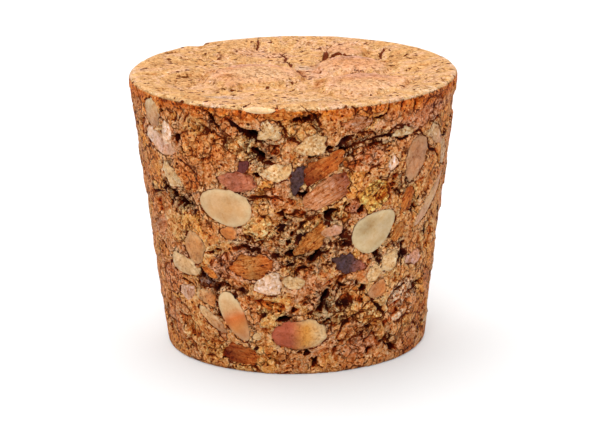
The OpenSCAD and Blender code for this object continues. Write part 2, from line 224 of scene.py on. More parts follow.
# Cracks in the wide end: width, then the points that each runs through.
endCracks = [
    (0.5, (-1.8, 13.3), (-0.9, 10.5), (-0.4, 7.1), (0, 3.7), (0.5, 0.4)),
    (0.36, (4.5, 15.1), (4.6, 11.6), (3.6, 7.5)),
    (0.6, (3.6, 6.8), (4.5, 9.8), (5.9, 10.4), (8, 10), (10.2, 9.4)),
    (0.4, (12.6, 13.2), (12.1, 11.8), (11.8, 9.7)),
    (0.4, (9.3, 15.6), (10.9, 16.4)),
    (0.4, (15.2, 9.1), (16.4, 10.2)),
    (0.3, (-5.1, 19.9), (-4.8, 17.7), (-4.6, 15)),
    (0.34, (-12.5, 10.4), (-11, 9)),
    (0.28, (-10.6, -1.2), (-10.2, 0.6), (-10, 1.4)),
    (0.16, (-9.8, 1), (-8.7, 4.2), (-6.6, 6.1), (-3.7, 6.3), (-1, 4.4)),
    (0.16, (6, -5.8), (7.1, -2.6), (8.9, -0.8), (10.6, -1.2), (11.7, -2.9)),
    (0.16, (3.3, 4.2), (5.6, 8.1), (7.9, 8.6), (10, 7.8), (11.1, 6.4)),
    (0.4, (7.4, -0.8), (8.2, 0), (9, 0.1)),
    (0.5, (11.6, -1.5), (12.7, -0.4), (13.9, -1.2)),
    (0.4, (14.8, -2.9), (16, -2.5), (17.1, -2.1)),
    (0.36, (18.6, -1), (19.3, -0.6)),
    (0.34, (19.7, -6.4), (20.4, -7.6)),
    (0.46, (15.6, -12.1), (17.4, -11.7)),
    (0.34, (-1.2, -9.9), (-0.5, -8.6), (0.2, -7.3)),
    (0.26, (-2.1, -15.9), (-1.5, -15.3), (-0.8, -14.9)),
    (0.34, (-6.6, -20.4), (-6.2, -19.2), (-5.6, -18.3)),
    (0.4, (-2.6, -21.5), (-2.4, -20.9), (-2.3, -20.2)),
    (0.3, (1.2, -20.6), (1.8, -21.4)),
    (0.22, (-17.4, -2.6), (-15.4, -3)),
    (0.22, (-14, 13.6), (-11.2, 14.6)),
]

# Pits in the wide end: x, y, length, width and tilt.
endPits = [
    (-16.7, 11.8, 1.6, 0.7, 10), (-9.8, 11.4, 1.3, 0.7, 0), (-9.8, 8, 1.2, 0.7, 0), (-6.8, 8, 1, 0.5, 0),
    (-14.5, 9.6, 1.1, 0.5, 20), (-19, -1.1, 1.2, 0.7, 20), (-14.6, 0, 1.3, 0.9, 0),
    (-13.7, -5.9, 0.6, 0.5, 0), (-13.1, -4, 0.6, 0.5, 0), (-16.8, -10.1, 0.8, 0.6, 0),
    (-17.2, -11.2, 0.7, 0.5, 0), (-4.8, 17.7, 0.9, 0.6, 0), (0.1, 3, 1.5, 1.1, 70), (17.5, 3, 1, 0.6, 0),
    (-12.4, -9.1, 0.6, 0.5, 0), (3.2, 1.6, 0.7, 0.5, 0), (-3, 11.5, 1.2, 0.6, 20), (13.5, 6.4, 1.1, 0.5, 0),
]

# Patches of another colour in the wide end: x, y, length, width, tilt, ragged,
# tone and how strong it is.
endPatches = [
    (-5.6, 3.2, 9.5, 4, 4, 0.3, "blush", 0.7), (-4.4, -2.2, 8, 7, 0, 0.5, "sand", 0.6),
    (-10.2, 2.4, 5, 3, 50, 0.5, "orange", 0.3), (-9.6, -12.4, 5.4, 1.9, 0, 0.4, "mist", 0.5),
    (1.8, 4.2, 3.2, 2.6, -30, 0.4, "mist", 0.5), (-8.9, -3.8, 2.4, 2.4, 0, 0.2, "gold", 0.5),
    (-8.3, -7.8, 3, 2.6, 0, 0.2, "gold", 0.4), (7.8, 6.4, 7, 3.4, 0, 0.3, "blush", 0.7),
    (9.8, -4, 8, 5, 0, 0.4, "blush", 0.6), (9.6, -9.6, 8, 4.4, 0, 0.4, "sand", 0.5),
    (7.2, 11.2, 6.6, 1.6, 0, 0.3, "gold", 0.4), (16.6, -12.2, 5.6, 3.2, 0, 0.4, "sand", 0.5),
    (-4, 13, 9, 4, -20, 0.5, "blush", 0.4), (2, -15.5, 11, 2.6, 4, 0.5, "sand", 0.5),
    (6, 16, 8, 2.4, 10, 0.5, "blush", 0.4), (-16, 5, 6, 4, 40, 0.5, "gold", 0.3),
    (2.5, 0.5, 5, 6, 0, 0.5, "blush", 0.4),
]

# Granules that show as a patch of their own colour: angle, height, length,
# width, tilt, fuller, ragged, tone and how strong the tone is.
granules = [
    (31, 24.3, 5.2, 4.4, 0, 0.1, 0.6, "amber", 0.7),
    (3.4, 33.9, 5.2, 3.2, 4, 0.1, 0.6, "gold", 0.6),
    (-13.8, 20.4, 4.7, 3.2, 14, 0.2, 0.6, "wheat", 0.9),
    (-30.5, 14.5, 3.4, 3.6, 0, 0.1, 0.5, "clay", 0.6),
    (22, 23, 2.3, 2, 0, 0.1, 0.5, "mauve", 0.8),
    (12.5, 9.4, 3.6, 3.4, 60, 0.1, 0.6, "moss", 0.6),
    (-41.5, 30.2, 2.4, 1.6, 20, 0.1, 0.5, "wheat", 0.8),
    (-34, 31, 8, 5, 20, 0.1, 0.6, "rust", 0.55),
    (-19, 31.6, 5, 3.2, -30, 0.1, 0.6, "wheat", 0.5),
    (-36, 34, 4, 3, 10, 0.1, 0.6, "gold", 0.6),
    (27, 29.3, 6.5, 2.6, 14, 0.1, 0.6, "clay", 0.6),
    (57, 34.2, 5.6, 3.4, 0, 0.1, 0.5, "mauve", 0.6),
    (20, 9.6, 4.6, 3, 30, 0, 0.6, "wheat", 0.4),
    (35, 4.4, 7, 4, 10, 0.1, 0.6, "brown", 0.35),
    (60, 6.4, 6, 4.5, 20, 0.1, 0.6, "gold", 0.4),
    (-8, 10, 4, 2.4, 10, 0.1, 0.6, "orange", 0.5),
    (-19, 15.4, 9, 5.4, 10, 0.1, 0.5, "clay", 0.6),
    (-60, 11, 6, 5, 20, 0.1, 0.6, "clay", 0.6),
    (48, 33.6, 5, 3, 0, 0.1, 0.6, "clay", 0.7),
    (-50, 19, 5, 4, 60, 0.1, 0.6, "gold", 0.6),
    (26, 3.2, 6, 3, 0, 0.1, 0.6, "clay", 0.5),
    (-38.4, 12.2, 3.2, 2, 10, 0.1, 0.6, "purple", 0.7),
    (-44, 4, 9, 5, -20, 0.1, 0.6, "gold", 0.5),
    (50, 8.4, 8, 6, 0, 0.1, 0.6, "bark", 0.8),
    (40, 11.6, 5, 3, 30, 0.1, 0.6, "wheat", 0.5),
    (-44, 26.6, 5, 3.4, -40, 0.1, 0.6, "rust", 0.4),
    (34, 8, 6, 3.4, 20, 0.1, 0.6, "wheat", 0.7),
]


# Marks that are scattered where the front's tables end, at the back from this
# angle on, and in the small end.
scattered = {
    "from": 80,
    "span": 200,
    "chips": 18,
    "bark": 6,
    "voids": 20,
    "cracks": 8,
    "beds": 8,
    "torn": 9,
    "granules": 12,
    "footPits": 16,
    "footCracks": [
        (0.3, (-1.2, 10.6), (-0.5, 7.8), (0, 3.4), (0.4, -2)), (0.3, (3.4, 12), (3.6, 9.6), (5.1, 7.4)),
        (0.26, (-8.4, 2), (-8, -1), (-8.2, -3.4)), (0.3, (9.6, 11), (9.4, 9.2), (9.2, 7)),
        (0.3, (-10, -4), (-10.6, -7), (-9.4, -9)), (0.26, (3, -9), (5.6, -10.4), (8.8, -9.8)),
    ],
}


def share(x):
    return x - math.floor(x)


def backPlace(i, count, start):
    # Angle and height of mark i of so many, spread over the back
    z = plug["height"] * (0.06 + 0.88 * (i + 0.5) / count)
    return scattered["from"] + scattered["span"] * share(start + golden * i), z


def backMarks(kind, start, small, big, slim, names="-"):
    marks = []
    for i in range(scattered[kind]):
        l = small + (big - small) * share(0.414 * i + start)
        w = l * (slim + 0.3 * share(0.732 * i))
        marks.append((*backPlace(i, scattered[kind], start), l, w, 180 * share(0.236 * i), 0.15, 0.3,
                      names[int(len(names) * share(0.449 * i))]))
    return marks


# Every chip and granule of bark, with the seed of its outline
smoothMarks = [*enumerate(sideChips), *enumerate(
    backMarks("chips", 0, 2.6, 7, 0.42, ("straw", "tan", "pink", "cream", "orange")), 60)]
barkMarks = [*enumerate(sideBark, len(sideChips)), *enumerate(
    backMarks("bark", 0.6, 4, 6.6, 0.42, ("bark", "rust", "gold")), 90)]


def startPiece():
    if bpy.context.object and bpy.context.object.mode != "OBJECT":
        bpy.ops.object.mode_set(mode="OBJECT")
    bpy.ops.object.select_all(action="DESELECT")


def endPiece(piece, name, material):
    piece.data.shade_smooth()
    piece.name = piece.data.name = name
    piece.data.materials.clear()
    piece.data.materials.append(material)
    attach(piece, "root")
    print(name, len(piece.data.polygons), "faces")


def applyModifier(piece, kind, **settings):
    modifier = piece.modifiers.new(kind.title(), kind)
    for key, value in settings.items():
        setattr(modifier, key, value)
    bpy.context.view_layer.objects.active = piece
    bpy.ops.object.modifier_apply(modifier=modifier.name)


def readPoints(mesh, what="co"):
    points = np.empty(len(mesh.vertices) * 3)
    mesh.vertices.foreach_get(what, points)
    return points.reshape(-1, 3)


def writePoints(mesh, points):
    mesh.vertices.foreach_set("co", points.ravel())
    mesh.update()


def writeField(mesh, name, values, kind="FLOAT", what="value"):
    field = mesh.attributes.new(name, kind, "POINT")
    field.data.foreach_set(what, np.asarray(values, dtype=np.float32).ravel())


def ramp(x, low, high):
    t = np.clip((x - low) / (high - low), 0, 1)
    return t * t * (3 - 2 * t)


def wobble(points, size, seed):
    shift = Vector((7.3 * seed, 3.1 * seed, 5.7 * seed))
    return np.array([noise.noise(Vector(p) / size + shift) for p in points])


def scatter(spots, seed):
    # A value from 0 to 1 for each spot that looks random and is always the same
    return np.sin(spots @ np.array((12.99, 78.23, 37.72)) * seed * 1.7) * 4375.85 % 1


def packCells(points, size, warp, seed):
    # Cells packed side by side: distance from the edge, three values for each
    # cell and the height of its tilted face
    drift = np.stack([wobble(points, 0.9 * size, seed + i) for i in range(3)], 1)
    drift += 0.4 * np.stack([wobble(points, 0.35 * size, seed + 3 + i) for i in range(3)], 1)
    spots = points / size + warp * drift + seed
    near, second = np.empty((2, len(points), 3))
    for i, spot in enumerate(spots):
        near[i], second[i] = noise.voronoi(Vector(spot))[1][:2]
    apart = second - near
    edge = np.sum(((near + second) / 2 - spots) * apart, 1) / np.linalg.norm(apart, axis=1) * size
    values = [scatter(near, i) for i in range(1, 7)]
    tip = size * np.sum((spots - near) * (np.stack(values[3:], 1) - 0.5), 1)
    return edge, *values[:3], tip


def levelOut(mesh, values, steps):
    # The values after they have run into their neighbours this many times
    ends = np.empty(len(mesh.edges) * 2, dtype=np.int32)
    mesh.edges.foreach_get("vertices", ends)
    a, b = ends.reshape(-1, 2).T
    near = np.bincount(ends, minlength=len(values))
    for _ in range(steps):
        gathered = np.bincount(a, values[b], len(values)) + np.bincount(b, values[a], len(values))
        values = 0.3 * values + 0.7 * gathered / near
    return values


def turned(x, y, tilt):
    c, s = math.cos(math.radians(tilt)), math.sin(math.radians(tilt))
    return c * x + s * y, c * y - s * x


def frayed(a, ragged, seed):
    # How far out an outline lies, as a share, by its angle: ragged ones have flats and corners
    reach = np.full(np.shape(a), 1.25)
    sides = 5 + seed % 3
    for k in range(sides):
        turn = 2 * math.pi * (k + 0.3 * math.sin(4.1 * seed + 2 * k)) / sides + seed
        flat = 0.88 + 0.1 * math.sin(1.7 * seed + 3 * k)
        reach = np.minimum(reach, flat / np.maximum(np.cos(a - turn), 0.1))
    return 1 + ragged * (reach - 1 + 0.04 * np.sin(9 * a + seed) + 0.03 * np.sin(14 * a + seed * seed))


def fromOutline(u, v, l, w, fuller=0, ragged=0, seed=0):
    # Distance from an egg-like outline, less than 0 inside it
    across = w / 2 * (1 + fuller * np.clip(2 * u / l, -1, 1))
    q = np.hypot(2 * u / l, v / across) / frayed(np.arctan2(v / across, 2 * u / l), ragged, seed) + 1e-6
    return np.hypot(u, v) * (1 - 1 / q)


def fromPath(x, y, path):
    # Signed offset from a path of points, and how far along it, from 0 to 1
    best, offset = np.full((2, len(x)), float(farOff))
    along = np.zeros(len(x))
    last = len(path) - 1
    for i in range(last):
        ax, ay = path[i]
        dx, dy = path[i + 1][0] - ax, path[i + 1][1] - ay
        t = np.clip(((x - ax) * dx + (y - ay) * dy) / (dx * dx + dy * dy), 0, 1)
        ex, ey = x - ax - t * dx, y - ay - t * dy
        d = np.hypot(ex, ey)
        near = d < best
        best = np.where(near, d, best)
        offset = np.where(near, np.where(dx * ey - dy * ex < 0, -d, d), offset)
        along = np.where(near, (i + t) / last, along)
    return offset, along


class Skin:
    # The skin of the plug as flat charts, with the marks that it gathers

    def __init__(self, mesh):
        high = plug["height"]
        self.points = readPoints(mesh) / mm
        self.normals = readPoints(mesh, "normal")
        self.x, self.y, self.z = self.points.T
        self.rho = np.hypot(self.x, self.y)
        self.angle = np.degrees(np.arctan2(self.x, -self.y))
        self.onSide = (self.rho - sideR(self.z)) * math.cos(lean) > -edgeBand
        self.onTop = self.z > high - edgeBand
        self.onFoot = self.z < edgeBand
        self.crust = ramp(self.z, high - 0.55, high - 0.12)
        self.band = ramp(self.z, high - 2.4, high - 1.1) * (1 - self.crust)  # just under the crust
        self.jag = [0.3 * wobble(self.points, 1.1, s) + 0.4 * wobble(self.points, 3, s + 5) for s in (1, 2)]
        self.fray = wobble(self.points, 0.8, 12)
        self.hollow, self.seam = np.full((2, len(self.x)), 9.0)
        self.seamWidth, self.sink, self.lift, self.torn = np.zeros((4, len(self.x)))
        self.tint = np.zeros((len(self.x), 4))

    def sideFlat(self, angle, z, tilt=0, jag=1):
        x = np.radians((self.angle - angle + 180) % 360 - 180) * sideR(z) + jag * self.jag[0]
        y = (self.z - z) / math.cos(lean) + jag * self.jag[1]
        u, v = turned(x, y, tilt)
        return np.where(self.onSide, u, farOff), v

    def endFlat(self, x, y, tilt=0, foot=False):
        u, v = turned(self.x - x + self.jag[0], self.y - y + self.jag[1], tilt)
        return np.where(self.onFoot if foot else self.onTop, u, farOff), v

    def addVoid(self, flat, l, w, seed):
        self.hollow = np.minimum(self.hollow, fromOutline(*flat, l, w, 0, 0.8, seed))

    def addCrack(self, flat, path, width):
        offset, along = fromPath(*flat, path)
        taper = np.sin(np.pi * np.clip(along * 0.92 + 0.04, 0, 1)) ** 0.5
        self.addSeam(offset, width / 2 * taper)
        self.addSink(plug["crackDepth"] * taper * ramp(0.42 - np.abs(offset), 0, 0.4))

    def addSink(self, depth):
        self.sink = np.maximum(self.sink, depth)

    # A seam is drawn dark by the material, as painted shade in a crack or groove
    def addSeam(self, offset, halfWidth, reach=0.7):
        near = np.abs(offset) - halfWidth < np.abs(self.seam) - self.seamWidth
        near &= np.abs(offset) < reach
        self.seam = np.where(near, np.clip(offset, -reach, reach), self.seam)
        fade = 1 - ramp(np.abs(offset), reach - 0.2, reach)
        self.seamWidth = np.where(near, halfWidth * fade, self.seamWidth)

    def addTint(self, d, tone, amount, soft=0.15):
        cover = ramp(-d, -soft, soft)[:, None] * amount
        self.tint = self.tint * (1 - cover) + cover * np.array([*tones[tone], 1])

    def addPatch(self, flat, l, w, fuller, ragged, tone, amount, seed):
        d = fromOutline(*flat, l, w, fuller, ragged, seed)
        self.addTint(d, tone, amount)
        gap = ramp(wobble(self.points, 2.2, seed + 20), -0.15, 0.3)
        self.addSeam(d, 0.08 * gap)
        self.addSink(plug["patchDepth"] * gap * ramp(0.4 - np.abs(d), 0, 0.4))

    def addSocket(self, flat, l, w, fuller, ragged, seed):
        # A bed for a chip, whose edge the crumbs cover here and there; its seam is drawn dark as painted
        # shade in the gap round the chip
        d = fromOutline(*flat, l, w, fuller, ragged, seed)
        cover = (0.06 + 0.5 * ragged) * (self.fray + 0.6 * self.jag[0])
        self.addSeam(d - 0.05 + cover, 0.07 * ramp(self.jag[0] + self.fray, -0.2, 0.2))
        self.addSink(plug["socketDepth"] * ramp(0.06 - d - cover, 0, 0.3))
        self.lift = np.maximum(self.lift, ramp(0.9 - np.abs(d - 0.2), 0, 0.8))


def turnPlug():
    startPiece()
    height = plug["height"]
    bpy.ops.mesh.primitive_cylinder_add(
        vertices=256, radius=plug["footR"] * mm, depth=height * mm, location=(0, 0, height / 2 * mm))
    cut = bpy.context.object
    bpy.ops.object.transform_apply(location=True, rotation=False, scale=False)
    selectRing(cut, height)
    grow = plug["wideR"] / plug["footR"]
    bpy.ops.transform.resize(value=(grow, grow, 1), center_override=(0, 0, 0))
    for z, size in ((0, plug["footRound"]), (height, plug["rimRound"])):
        selectRing(cut, z)
        bpy.ops.mesh.bevel(offset=size * mm, segments=5)
    startPiece()
    print("plug turned")
    return cut


def selectRing(piece, z):
    # Opens the piece for editing, with only its ring at this height selected
    bpy.ops.object.mode_set(mode="OBJECT")
    for part in (piece.data.polygons, piece.data.edges, piece.data.vertices):
        part.foreach_set("select", [False] * len(part))
    for vertex in piece.data.vertices:
        vertex.select = abs(vertex.co.z - z * mm) < 0.01 * mm
    bpy.ops.object.mode_set(mode="EDIT")


def markSides(skin):
    patches = granules + [(*mark, 0.6) for mark in backMarks(
        "granules", 0.85, 3.5, 7, 0.5, ("orange", "gold", "clay", "mauve", "wheat"))]
    for i, (angle, z, l, w, tilt, fuller, ragged, tone, amount) in enumerate(patches):
        skin.addPatch(skin.sideFlat(angle, z, tilt), l, w, fuller, ragged, tone, amount, i)
    paths = list(sideCracks)
    for i in range(scattered["cracks"]):
        angle, z = backPlace(i, scattered["cracks"], 0.5)
        paths.append((0.3, *((angle + 3.6 * k, z + math.sin(2.4 * k + i)) for k in range(5))))
    for width, *path in paths:
        angle, z = path[len(path) // 2]
        flat = [(math.radians(a - angle) * sideR(z), (h - z) / math.cos(lean)) for a, h in path]
        skin.addCrack(skin.sideFlat(angle, z), flat, width)


def markEnds(skin):
    for foot, cracks in ((False, endCracks), (True, scattered["footCracks"])):
        for width, *path in cracks:
            skin.addCrack(skin.endFlat(0, 0, foot=foot), path, width)
    for i, (x, y, l, w, tilt, ragged, tone, amount) in enumerate(endPatches):
        skin.addTint(fromOutline(*skin.endFlat(x, y, tilt), l, w, 0, ragged, i), tone, amount, 1)
    for i, (x, y, l, w, tilt) in enumerate(endPits):
        skin.addVoid(skin.endFlat(x, y, tilt), l, w, i)
    count = scattered["footPits"]
    for i in range(count):
        r = (plug["footR"] - 1.1) * math.sqrt((i + 1.5) / (count + 2.5))
        a = 2 * math.pi * golden * i
        flat = skin.endFlat(r * math.cos(a), r * math.sin(a), 180 * share(0.236 * i), foot=True)
        skin.addVoid(flat, 0.8 + 0.9 * share(0.414 * i), 0.7, i)


def hollowSides(skin):
    for angle, z, l, w, tilt, *_ in tornZones + backMarks("torn", 0.2, 6, 11, 0.5):
        skin.torn = np.maximum(skin.torn, ramp(-fromOutline(*skin.sideFlat(angle, z, tilt), l, w), -0.8, 1))
    for i, (angle, z, l, w, tilt, *_) in enumerate(sideBeds + backMarks("beds", 0.7, 4, 6, 0.4)):
        d = fromOutline(*skin.sideFlat(angle, z, tilt), l, w, 0, 0.8, i)
        skin.addSink(plug["bedDepth"] * ramp(-d, -0.2, 0.3))
    voids = sideVoids + [(*mark[:3], 0.9, mark[4]) for mark in backMarks("voids", 0.3, 1.4, 3.6, 0.3)]
    for i, (angle, z, l, w, tilt) in enumerate(voids):
        skin.addVoid(skin.sideFlat(angle, z, tilt), l, w, i)
    for i, (angle, z, l, w, tilt, fuller, ragged, _) in smoothMarks + barkMarks:
        skin.addSocket(skin.sideFlat(angle, z, tilt, 0), l, w, fuller, ragged, i)


def raiseFace(skin):
    # The wide end sinks a little inside its rim, and its lumps stand out of it
    swell, foot = np.zeros((2, len(skin.x)))
    for x, y, w, high in lumps:
        d = np.hypot(skin.x - x + 2 * skin.jag[0], skin.y - y + 2 * skin.jag[1]) / (w / 2)
        swell = np.maximum(swell, high * np.clip(1 - d * d, 0, 1) ** 0.45)
        # Behind each lump a ring that the material darkens, as painted shade in the crease there
        shadeRing = ramp((skin.y - y) / w, -0.35, 0.2) * ramp(0.2 - np.abs(d - 1), 0, 0.2)
        foot = np.maximum(foot, high * shadeRing) * (1 - ramp(0.86 - d, 0, 0.1))
    inside = ramp(20 - skin.rho, 0, 5) * skin.onTop
    rise = inside * (plug["lumpRise"] * swell - plug["faceSink"] * (1 - swell))
    return rise, inside * swell, inside * foot


def buildBody(material):
    turnedPlug = turnPlug()
    turnedPlug.select_set(True)
    bpy.context.view_layer.objects.active = turnedPlug
    bpy.ops.object.duplicate()
    body = bpy.context.object
    applyModifier(body, "REMESH", mode="VOXEL", voxel_size=plug["faceSize"] * mm)
    applyModifier(body, "SHRINKWRAP", target=turnedPlug)
    bpy.data.objects.remove(turnedPlug)
    skin = Skin(body.data)
    points = skin.points
    markSides(skin)
    markEnds(skin)
    hollowSides(skin)
    print("marks set on", len(points), "points")

    # Granules and crumbs, how torn each place is, and pockets between them
    edge, tone, hue, kind, tip = packCells(points, plug["granule"], 0.45, 3)
    crumbEdge, crumbTone, crumbHue, _, crumbTip = packCells(points, plug["crumb"], 0.4, 9)
    calm = (1 - skin.crust) * (1 - 0.5 * skin.band) * (1 - 0.65 * ramp(4 - skin.z, 0, 3.5))
    crumbly = ramp(skin.torn + 0.5 * kind + 0.5 * wobble(points, 2.4, 2), 0.4, 0.9) * calm
    gappy = ramp(wobble(points, 3, 8) + 0.5 * skin.torn, -0.15, 0.55) * calm
    pocket = ramp(wobble(points, 1.4, 5) + 0.4 * skin.fray, 0.1, 0.3) * gappy

    # How far each point sinks
    gap = (plug["granuleGap"] * gappy + 0.15 * pocket) * (1 - ramp(edge, 0.02, 0.4))
    sunk = 0.03 * (wobble(points, 0.9, 3) + 1) * (0.4 + 0.6 * crumbly) + 0.05 * (wobble(points, 2.6, 4) + 1)
    sunk += (1 - 0.85 * skin.crust) * (plug["granuleDrop"] * hue + plug["granuleTilt"] * tip + gap)
    gap = (plug["crumbGap"] + 0.2 * pocket) * (1 - ramp(crumbEdge, 0, 0.34))
    sunk += crumbly * (plug["crumbDrop"] * crumbTone + plug["crumbTilt"] * crumbTip + gap)
    sunk = sunk * (1 - 0.6 * skin.lift) * (1 - 0.7 * ramp(2.6 - skin.z, 0, 2)) - 0.12
    hollow = skin.hollow + np.where(skin.onSide, 0.9 * crumbHue - 0.2, 0) + 0.35 * skin.fray
    pit = np.where(skin.onSide, plug["voidDepth"], plug["pitDepth"]) * ramp(-hollow, -0.25, 0.3)
    fromNotch = np.linalg.norm(points - np.array(plug["notch"]), axis=1)
    depth = np.maximum(skin.sink, pit) + sunk + plug["notchDepth"] * ramp(plug["notchR"] - fromNotch, 0, 1)
    # How far each point lies below its neighbours, which the material paints as shade in hollows and as
    # light on what stands out
    cavityShade = (depth - levelOut(body.data, depth, 8)) * (1 - skin.crust) * (1 - 0.4 * skin.band)
    points = points - skin.normals * depth[:, None]
    points[:, :2] *= np.minimum(1, plug["reach"] / np.maximum(np.hypot(*points[:, :2].T), 1))[:, None]
    rise, swell, foot = raiseFace(skin)
    points[:, 2] = np.clip(points[:, 2] + rise, 0, plug["top"])
    writePoints(body.data, points * mm)

    # What the material reads
    fields = {
        "hollow": hollow, "seam": skin.seam, "seamWidth": skin.seamWidth, "crust": skin.crust,
        "band": skin.band, "crumbly": crumbly, "gappy": gappy, "pocket": pocket, "cavityShade": cavityShade,
        "rimLit": ramp(skin.rho, 20.8, 21.5) * skin.crust, "swell": swell, "foot": foot,
        "granuleEdge": edge, "granuleTone": tone, "granuleHue": hue,
        "crumbEdge": crumbEdge, "crumbTone": crumbTone,
    }
    for name, values in fields.items():
        writeField(body.data, name, values)
    skin.tint[:, :3] /= np.maximum(skin.tint[:, 3:], 0.01)
    writeField(body.data, "tint", skin.tint, "FLOAT_COLOR", "color")
    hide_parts("stopper")
    endPiece(body, "corkBody", material)


# Chips and bark, in millimetres, and the finish of each kind
chipShape = {
    "proud": 0.05,  # of the skin, at its middle
    "edgeSunk": 0.4,
    "thick": 0.9,
    "overlap": 0.2,  # wider than its mark
    "segments": 48,
    "rings": 20,
}
smoothFinish = {"ridges": 0, "lined": 0.1, "edgeHighlight": 0.6, "roughness": 0.42, "specular": 0.3}
barkFinish = {"ridges": 0.12, "lined": 1.2, "edgeHighlight": 0.1, "roughness": 0.55, "specular": 0.12}
rimChip = {
    "angle": -11.6,
    "length": 4.3,
    "width": 1.7,
    "ragged": 0.1,
    "proud": 0.12,
    "tone": "butter",
    "seed": 59,
}


def bendTone(names, along):
    # Colour along a chip whose tones change from one end to the other
    stops = np.array([tones[name] for name in names.split()])
    places = np.linspace(-0.8, 0.8, len(stops)) if len(stops) > 1 else [0]
    return np.stack([np.interp(along, places, stops[:, i]) for i in range(3)], 1)


def onSide(angle, z, x, y, h):
    height = z + y * math.cos(lean)
    r = sideR(height) + h * math.cos(lean)
    t = math.radians(angle) + x / sideR(z)
    return np.stack([r * np.sin(t), -r * np.cos(t), height - h * math.sin(lean)], 1)


def onRim(angle, x, y, h):
    # On the rounded rim, with y running over it from the side to the end face
    rim = plug["rimRound"]
    a = math.radians(45) + y / 1.3
    r = plug["wideR"] - rim + (rim + h) * np.cos(a)
    t = math.radians(angle) + x / plug["wideR"]
    return np.stack([r * np.sin(t), -r * np.cos(t), plug["height"] - rim + (rim + h) * np.sin(a)], 1)


def buildChips(name, marks, finish, material):
    # One pebble is shaped, and each chip is a copy bent to its own outline; z is
    # None for the chip on the rim
    startPiece()
    bpy.ops.mesh.primitive_uv_sphere_add(
        segments=chipShape["segments"], ring_count=chipShape["rings"], radius=1)
    pebble = bpy.context.object
    ball = readPoints(pebble.data)
    a = np.arctan2(ball[:, 1], ball[:, 0])
    out = np.hypot(ball[:, 0], ball[:, 1]) ** 0.8
    under = ball[:, 2] <= 0
    crown = np.sqrt(np.clip(1 - out ** 6, 0, 1))
    low = chipShape["edgeSunk"]
    made = []
    for seed, (angle, z, l, w, tilt, fuller, ragged, tone) in marks:
        chip = bpy.data.objects.new(name, pebble.data.copy())
        bpy.context.scene.collection.objects.link(chip)
        edge = out * frayed(a, ragged, seed)
        u = (l + chipShape["overlap"]) / 2 * edge * np.cos(a)
        bulge = 1 + fuller * np.clip(edge * np.cos(a), -1, 1)
        v = (w + chipShape["overlap"]) / 2 * edge * np.sin(a) * bulge
        proud = rimChip["proud"] if z is None else chipShape["proud"]
        h = np.where(under, -low - (chipShape["thick"] - low) * crown, -low + (low + proud) * crown)
        grain = np.stack([u, v, 0 * u + 5 * seed], 1)
        ridge = finish["ridges"] * (wobble(grain * (0.25, 1.1, 1), 1, 4) - 0.3)
        worn = (0.05 + 0.1 * ragged) * wobble(grain, 1.5, 1) + (0.02 + 0.08 * ragged) * wobble(grain, 0.5, 2)
        h += np.where(under, 0, worn - 0.08 * ragged + ridge)
        x, y = turned(u, v, -tilt)
        writePoints(chip.data, (onRim(angle, x, y, h) if z is None else onSide(angle, z, x, y, h)) * mm)
        tint = np.ones((len(u), 4))
        tint[:, :3] = bendTone(tone, 2 * u / l) * random.Random(seed).uniform(0.92, 1.06)
        tint[:, :3] *= (1 + 0.3 * wobble(grain, 2, 3))[:, None]
        writeField(chip.data, "tint", tint, "FLOAT_COLOR", "color")
        writeField(chip.data, "place", grain, "FLOAT_VECTOR", "vector")
        writeField(chip.data, "rim", out)
        writeField(chip.data, "dusty", np.full(len(u), 0.7 * ragged))
        made.append(chip)
    bpy.data.objects.remove(pebble)
    for chip in made:
        chip.select_set(True)
    bpy.context.view_layer.objects.active = made[0]
    bpy.ops.object.join()
    endPiece(bpy.context.object, name, material)


def isSocket(value):
    return isinstance(value, bpy.types.NodeSocket)


def feed(node, inputs):
    # Each input takes a value of its own or what a socket gives
    for key, value in inputs.items():
        if isSocket(value):
            node.id_data.links.new(value, node.inputs[key])
        else:
            node.inputs[key].default_value = value
    return node


def addNode(kind, inputs, tree=None, **settings):
    # A node in the tree that its inputs come from, unless another is given
    tree = tree or next(filter(isSocket, inputs.values())).id_data
    node = tree.nodes.new(kind)
    for key, value in settings.items():
        setattr(node, key, value)
    return feed(node, inputs)


def mathNode(operation, a, b=0, c=0):
    return addNode("ShaderNodeMath", {0: a, 1: b, 2: c}, operation=operation).outputs[0]


def vector(operation, a, b):
    return addNode("ShaderNodeVectorMath", {0: a, 1: b}, operation=operation).outputs[0]


def product(first, *others):
    for other in others:
        first = mathNode("MULTIPLY", first, other)
    return first


def total(*terms):
    # A term in brackets stands for the product of what it holds
    first, *others = (product(*term) if isinstance(term, tuple) else term for term in terms)
    for other in others:
        first = mathNode("ADD", first, other)
    return first


def scaled(value, by, plus):
    return mathNode("MULTIPLY_ADD", value, by, plus)


def spread(value, width):
    # A noise value, moved to run evenly either side of 0
    return scaled(value, width, -width / 2)


def specks(value, width):
    # The same, but nearly level except where the noise is far from its middle
    off = spread(value, 2)
    return product(off, mathNode("ABSOLUTE", off), width)


def between(value, low, high, out0=0, out1=1):
    sizes = {"Value": value, "From Min": low, "From Max": high, "To Min": out0, "To Max": out1}
    return addNode("ShaderNodeMapRange", sizes, interpolation_type="SMOOTHSTEP").outputs["Result"]


def below(value, low, high):
    return between(value, low, high, 1, 0)


def mixColour(factor, a, b, blend="MIX"):
    a, b = ((*colour, 1) if isinstance(colour, tuple) else colour for colour in (a, b))
    return addNode("ShaderNodeMix", {0: factor, 6: a, 7: b}, data_type="RGBA", blend_type=blend).outputs[2]


def colourRamp(value, *stops):
    # Each stop is a place from 0 to 1, then red, green and blue up to 255
    node = addNode("ShaderNodeValToRGB", {"Fac": value})
    band = node.color_ramp
    while len(band.elements) < len(stops):
        band.elements.new(1)
    for element, (place, *colour) in zip(band.elements, stops):
        element.position = place
        element.color = (*srgb(*colour), 1)
    return node.outputs["Color"]


def split(colour):
    return addNode("ShaderNodeSeparateColor", {"Color": colour}).outputs


